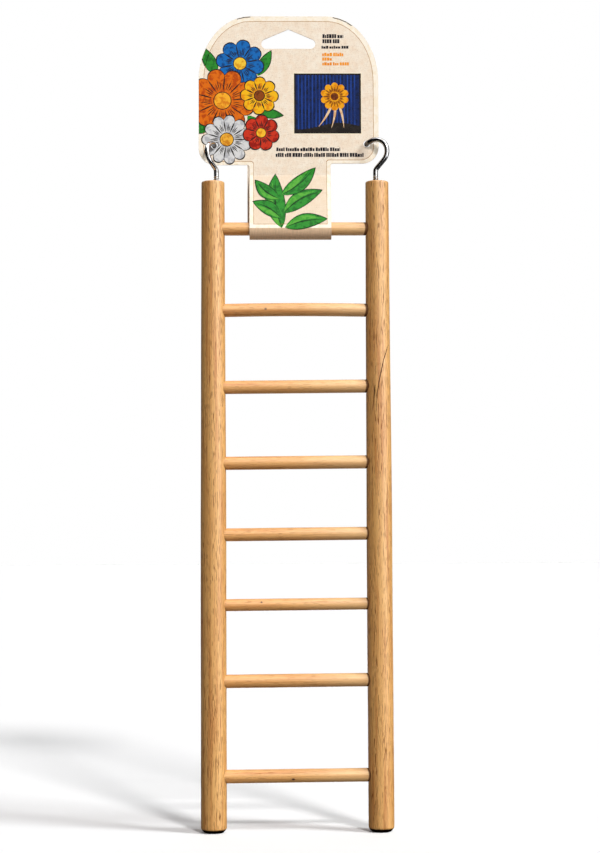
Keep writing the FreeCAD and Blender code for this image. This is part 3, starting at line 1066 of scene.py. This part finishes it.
def print_panel(dark):
    """Dark striped panel in a frame, with a flower on three stalks."""
    left, bottom, width, height = PANEL

    def inner_bar(inset):
        return bar(left + inset, bottom + inset, width - 2 * inset, height - 2 * inset)

    print_layer("print_panel_edge", [[inner_bar(-PANEL_RIM)]], 1, ink("ink_panel_edge", "F9ECD6", "F5E4C8"))
    print_layer("print_panel_frame", [[inner_bar(0.0)]], 2, dark)
    print_layer("print_panel", [[inner_bar(PANEL_FRAME)]], 3, ink("ink_navy", "0F2358", "0A1838"))
    low = bottom + PANEL_FRAME
    count, start, spacing, stripe_width = STRIPES
    stripes = [[bar(left + start + spacing * index, low, stripe_width, height - 2 * PANEL_FRAME)]
               for index in range(count)]
    print_layer("print_panel_stripes", stripes, 4, ink("ink_stripes", "1C3F92", "142E6E", (0.5, 0.5, 0.05)))
    rise, wave, steps = GROUND
    right = left + width - PANEL_FRAME
    step = (width - 2 * PANEL_FRAME) / steps
    ground = [Vector((left + PANEL_FRAME, low)), Vector((right, low))]
    ground += [Vector((right - index * step, low + rise + wave * math.sin(index * 0.42)))
               for index in range(steps + 1)]
    print_layer("print_panel_ground", [[ground]], 5, dark)
    x, z = PANEL_FLOWER[:2]
    stalks = [[blade(x, z, angle, length, *STALK_SHAPE)] for angle, length in STALKS]
    print_layer("print_panel_stalks", stalks, 6, ink("ink_stalks", "E9C9A4", "D8A878"), spacing=1)
    print_layer("print_panel_flower", [[rosette(*PANEL_FLOWER)]], 9, ink("ink_flower", "F0A71A", "D98408"))
    print_layer("print_panel_strokes", strokes(*PANEL_FLOWER), 10,
                ink("ink_panel_strokes", "8A4A0C", "6E3808"))
    print_layer("print_panel_heart", [[disc(x, z, PANEL_HEART_RADIUS)]], 11,
                ink("ink_heart", "7A3A10", "5A280C"))


def make_print():
    """Printed design: border, flowers and leaves, a dark panel, and blocks where text would be."""
    dark = ink("ink_outline", "1B1716", "262120")
    print_edges()
    print_flowers(dark)
    print_leaves()
    print_panel(dark)
    print_layer("print_dark_rows", all_words(DARK_ROWS, 0), 2, ink("ink_dark_rows", "16141C", "24222C"))
    print_layer("print_orange_rows", all_words(ORANGE_ROWS, ORANGE_SEED), 2,
                ink("ink_orange_rows", "F09A2A", "E88A1C"))


def make_camera():
    """Camera at the photograph's place, with the photograph's view."""
    yaw, pitch, roll = (math.radians(angle) for angle in (CAMERA_YAW_DEG, CAMERA_PITCH_DEG, CAMERA_ROLL_DEG))
    forward = Vector((math.sin(yaw) * math.cos(pitch), math.cos(yaw) * math.cos(pitch), math.sin(pitch)))
    level = Vector((math.cos(yaw), -math.sin(yaw), 0))
    upright = level.cross(forward)
    across = level * math.cos(roll) + upright * math.sin(roll)
    above = upright * math.cos(roll) - level * math.sin(roll)
    data = bpy.data.cameras.new("photo_camera")
    data.sensor_width = 36.0
    data.lens = data.sensor_width * FOCAL_PX / IMAGE_HEIGHT_PX
    data.shift_x = -HALF_PIXEL
    data.shift_y = HALF_PIXEL
    data.clip_end = 20.0
    camera = added("photo_camera", data)
    turned = Matrix((across, above, -forward)).transposed().to_4x4()
    camera.matrix_world = Matrix.Translation(CAMERA_PLACE * MM) @ turned
    bpy.context.scene.camera = camera


def toward(azimuth_deg, elevation_deg):
    """Way from the ladder to a place in the studio. Azimuth 0 is in front, 90 is on the right."""
    azimuth, elevation = math.radians(azimuth_deg), math.radians(elevation_deg)
    return Vector((math.sin(azimuth) * math.cos(elevation), -math.cos(azimuth) * math.cos(elevation),
                   math.sin(elevation)))


def light(name, azimuth_deg, elevation_deg, spread_deg, strength, colour):
    """Soft lamp, far enough away to light the floor evenly."""
    data = bpy.data.lights.new(name, "SUN")
    data.angle = math.radians(spread_deg)
    data.energy = strength
    data.color = colour
    lamp = added(name, data)
    lamp.rotation_euler = (-toward(azimuth_deg, elevation_deg)).to_track_quat("-Z", "Y").to_euler()
    lamp.location = toward(azimuth_deg, elevation_deg) * 2.0


def standing(azimuth_deg, distance, width, height):
    """Corners of an upright rectangle that faces the ladder."""
    across = toward(azimuth_deg + 90, 0) * width / 2
    centre = toward(azimuth_deg, 0) * distance
    return centre - across, centre + across, centre + across + UP * height, centre - across + UP * height


def lying(low_x, low_y, high_x, high_y, height):
    """Corners of a level rectangle."""
    return (low_x, low_y, height), (high_x, low_y, height), (high_x, high_y, height), (low_x, high_y, height)


def emptied(owner):
    """Empty node tree of a new material or world."""
    nodes = Nodes(owner)
    nodes.tree.nodes.clear()
    return nodes


def make_backdrop(name, corners, material):
    """Four-cornered sheet that isn't part of the ladder."""
    mesh = bpy.data.meshes.new(name)
    mesh.from_pydata(corners, [], [(0, 1, 2, 3)])
    mesh.materials.append(material)
    return added(name, mesh)


def flag(name, corners, shade):
    """Dark or bright card near the ladder that only reflections show."""
    material = bpy.data.materials.new(name)
    nodes = emptied(material)
    glow = nodes.node("ShaderNodeEmission", {"Color": (shade, shade, shade, 1)})
    nodes.node("ShaderNodeOutputMaterial", {"Surface": glow.outputs[0]})
    card = make_backdrop(name, corners, material)
    for ray in ("camera", "diffuse", "transmission", "shadow", "volume_scatter"):
        setattr(card, "visible_" + ray, False)


def seen_directly(nodes):
    """One for rays from the camera and for mirrored or refracted ones, else zero."""
    path = nodes.node("ShaderNodeLightPath")
    either = nodes.math("MAXIMUM", path.outputs["Is Camera Ray"], path.outputs["Is Glossy Ray"])
    return nodes.math("MAXIMUM", either, path.outputs["Is Transmission Ray"])


def make_world():
    """White behind everything, and a weaker even light on the object."""
    world = bpy.data.worlds.new("studio")
    nodes = emptied(world)
    shares = {0: seen_directly(nodes)}
    for index, strength, colour in ((1, AMBIENT, AMBIENT_TINT), (2, 1.0, (1, 1, 1))):
        background = nodes.node("ShaderNodeBackground", {"Color": (*colour, 1), "Strength": strength})
        shares[index] = background.outputs[0]
    mixed = nodes.node("ShaderNodeMixShader", shares)
    nodes.node("ShaderNodeOutputWorld", {"Surface": mixed.outputs[0]})
    bpy.context.scene.world = world


def make_floor():
    """Pale floor that is white to the camera except where the ladder shades it."""
    material = bpy.data.materials.new("floor")
    nodes = emptied(material)
    seen = seen_directly(nodes)
    tone = nodes.mix(seen, (*FLOOR_BOUNCE_TONE, 1), (*FLOOR_SEEN_TONE, 1))
    diffuse = nodes.node("ShaderNodeBsdfDiffuse", {"Color": tone})
    glow = nodes.node("ShaderNodeEmission", {"Strength": nodes.times(seen, FLOOR_GLOW)})
    both = nodes.node("ShaderNodeAddShader", {0: diffuse.outputs[0], 1: glow.outputs[0]})
    nodes.node("ShaderNodeOutputMaterial", {"Surface": both.outputs[0]})
    reach = FLOOR_REACH
    floor = make_backdrop("floor", lying(-reach, -reach, reach, reach, 0), material)


make_camera()
make_world()
make_floor()
for lamp_name, lamp_values in LAMPS.items():
    light(lamp_name, *lamp_values)
for flag_name, (*flag_place, flag_shade) in UPRIGHT_FLAGS.items():
    flag(flag_name, standing(*flag_place), flag_shade)
for flag_name, (*flag_place, flag_shade) in LEVEL_FLAGS.items():
    flag(flag_name, lying(*flag_place), flag_shade)
bpy.context.scene.view_settings.view_transform = "Standard"

rail_wood = wood("rail_wood", 2, ("E2B067", "BE7E3C", "5C280A"), 0.9, (0.63, 0.70),
                 foot_shadow_height=FOOT_SHADOW_HEIGHT)
rung_wood = wood("rung_wood", 0, ("E8B26C", "CC8642", "7E451A"), 0.6, (0.665, 0.73), knots=KNOTS,
                 right_end_highlight=RIGHT_END_HIGHLIGHT, shaded_joint=(rail_axis_x, rail_foot_radius))
# Painted dark shade for the walls of the rails' holes and cracks
hollow_shade = ink("hollow_shade", "3A1E0E", "2A150A")
hook_steel = steel("hook_steel")
card_paper = card_stock("card_paper")

make_rail("left", -1, rail_wood, hollow_shade)
make_rail("right", 1, rail_wood, hollow_shade)
for rung_index in range(1, RUNG_COUNT + 1):
    make_rung(rung_index, rung_wood)
for hook_name, hook_spec in HOOKS.items():
    make_hook(hook_name, hook_spec, hook_steel)
for material_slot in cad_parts["hang_card"].material_slots:
    material_slot.material = card_paper
make_print()
